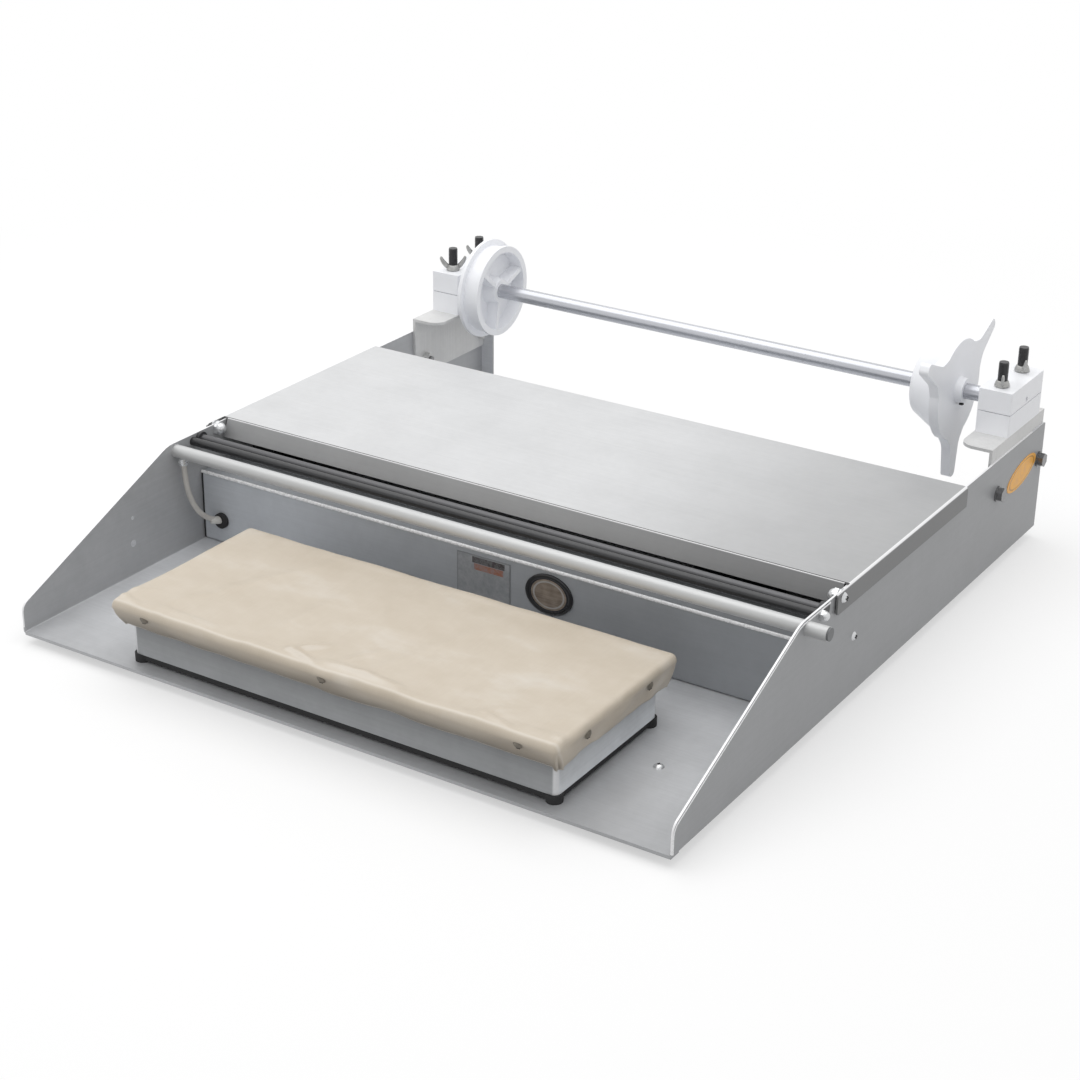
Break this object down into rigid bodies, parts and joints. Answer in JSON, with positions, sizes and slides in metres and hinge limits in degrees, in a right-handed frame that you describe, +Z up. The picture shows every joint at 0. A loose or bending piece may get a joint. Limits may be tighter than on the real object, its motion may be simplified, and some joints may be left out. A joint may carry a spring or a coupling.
{
  "type": "stretch film wrapper",
  "caption": "Table-top stretch film wrapper: wedge-sided steel tray with a hot plate, a heated cut-off tube, guide rods, a hinged deck cover and a raised roll shaft.",
  "frame": {"origin": "middle of the overall footprint, on the surface that the four feet stand on", "axes": "+Z up, +X towards the right side wall seen by the operator, +Y from the front edge towards the roll"},
  "size_m": [0.595, 0.6346, 0.1785],
  "materials": {
    "tray_sheet": "brushed stainless sheet",
    "cover_sheet": "brushed stainless sheet",
    "panel_sheet": "brushed stainless sheet",
    "bracket_sheet": "brushed stainless sheet",
    "bright_fasteners": "bright zinc plate",
    "zinc_wing_nuts": "dull zinc plate",
    "black_steel": "black oxide",
    "ground_steel": "ground and polished",
    "dark_steel": "dark ground steel",
    "tube_steel": "heat-dulled stainless tube",
    "heater_steel": "plain",
    "black_rubber": "matte",
    "lead_sleeve": "matte silicone",
    "black_plastic": "moulded",
    "grey_plastic": "moulded",
    "white_plastic": "moulded, semi-gloss",
    "red_plastic": "moulded",
    "box_sheet": "mill-finish steel",
    "plate_metal": "mill finish",
    "wool": "mineral wool",
    "mat_film": "silicone",
    "tan_cloth": "woven, non-stick coated, soft sheen",
    "badge_metal": "brushed, dark edge",
    "plate_foil": "satin",
    "orange_foil": "printed foil",
    "iron_core": "varnished laminations"
  },
  "bodies": {
    "base": {"base_tray": "tray_sheet", "base_feet": "black_rubber", "foot_screws": "bright_fasteners", "front_panel": "panel_sheet", "rear_panel": "panel_sheet", "side_screws": "bright_fasteners", "pivot_bolts": "bright_fasteners", "pivot_washers": "bright_fasteners", "acorn_nuts": "bright_fasteners", "rod_bushes": "black_plastic", "front_guide_rod": "black_steel", "rod_nuts": "bright_fasteners", "cutoff_tube": "tube_steel", "tube_end_plugs": "grey_plastic", "tube_heater": "heater_steel", "lead_gland": "bright_fasteners", "tube_lead": "lead_sleeve", "lead_grommet": "black_rubber", "plate_lead_grommet": "black_rubber", "plate_box": "box_sheet", "plate_gland": "black_plastic", "plate_feet": "black_rubber", "plate_studs": "bright_fasteners", "insulation_pad": "wool", "heater_mat": "mat_film", "heating_plate": "plate_metal", "plate_cutout": "heater_steel", "plate_cloth": "tan_cloth", "cloth_screws": "bright_fasteners", "left_bracket": "bracket_sheet", "right_bracket": "bracket_sheet", "bracket_bolts": "bright_fasteners", "bracket_nuts": "bright_fasteners", "left_block_lower": "white_plastic", "left_block_upper": "white_plastic", "right_block_lower": "white_plastic", "right_block_upper": "white_plastic", "clamp_studs": "black_steel", "panel_badge": "badge_metal", "data_plate": "plate_foil", "wall_badge": "orange_foil", "thermostat": "black_plastic", "rocker_frame": "black_plastic", "mains_inlet": "black_plastic", "transformer": "iron_core", "terminal_block": "white_plastic"},
    "deck": {"deck_cover": "cover_sheet"},
    "rear_rod": {"rear_guide_rod": "dark_steel"},
    "shaft": {"roll_shaft": "ground_steel", "core_cup": "white_plastic", "cup_set_screw": "black_steel"},
    "cone": {"star_cone": "white_plastic", "star_set_screw": "black_steel"},
    "knob": {"thermostat_knob": "black_plastic", "thermostat_spindle": "bright_fasteners"},
    "rocker": {"power_rocker": "red_plastic"},
    "wing_left_front": {"left_front_wing_nut": "zinc_wing_nuts"},
    "wing_left_rear": {"left_rear_wing_nut": "zinc_wing_nuts"},
    "wing_right_front": {"right_front_wing_nut": "zinc_wing_nuts"},
    "wing_right_rear": {"right_rear_wing_nut": "zinc_wing_nuts"}
  },
  "joints": [
    {"name": "deck_lift", "type": "hinge", "parent": "base", "child": "deck", "pos_m": [0, -0.08683, 0.099], "axis": [1, 0, 0], "range_deg": [0, 75]},
    {"name": "rear_rod_turn", "type": "hinge", "parent": "base", "child": "rear_rod", "pos_m": [0, -0.10833, 0.0975], "axis": [1, 0, 0], "continuous": true},
    {"name": "shaft_spin", "type": "hinge", "parent": "base", "child": "shaft", "pos_m": [0, 0.25017, 0.1335], "axis": [1, 0, 0], "continuous": true},
    {"name": "cone_slide", "type": "slide", "parent": "shaft", "child": "cone", "axis": [1, 0, 0], "range_m": [-0.39, 0.018]},
    {"name": "knob_turn", "type": "hinge", "parent": "base", "child": "knob", "pos_m": [-0.28, -0.02483, 0.054], "axis": [-1, 0, 0], "range_deg": [-270, 0]},
    {"name": "rocker_tip", "type": "hinge", "parent": "base", "child": "rocker", "pos_m": [-0.28, 0.03017, 0.054], "axis": [0, 1, 0], "range_deg": [0, 20]},
    {"name": "wing_left_front_turn", "type": "hinge", "parent": "base", "child": "wing_left_front", "pos_m": [-0.2645, 0.22917, 0.152], "axis": [0, 0, 1], "continuous": true},
    {"name": "wing_left_rear_turn", "type": "hinge", "parent": "base", "child": "wing_left_rear", "pos_m": [-0.2645, 0.27117, 0.152], "axis": [0, 0, 1], "continuous": true},
    {"name": "wing_right_front_turn", "type": "hinge", "parent": "base", "child": "wing_right_front", "pos_m": [0.2645, 0.22917, 0.152], "axis": [0, 0, 1], "continuous": true},
    {"name": "wing_right_rear_turn", "type": "hinge", "parent": "base", "child": "wing_right_rear", "pos_m": [0.2645, 0.27117, 0.152], "axis": [0, 0, 1], "continuous": true}
  ]
}
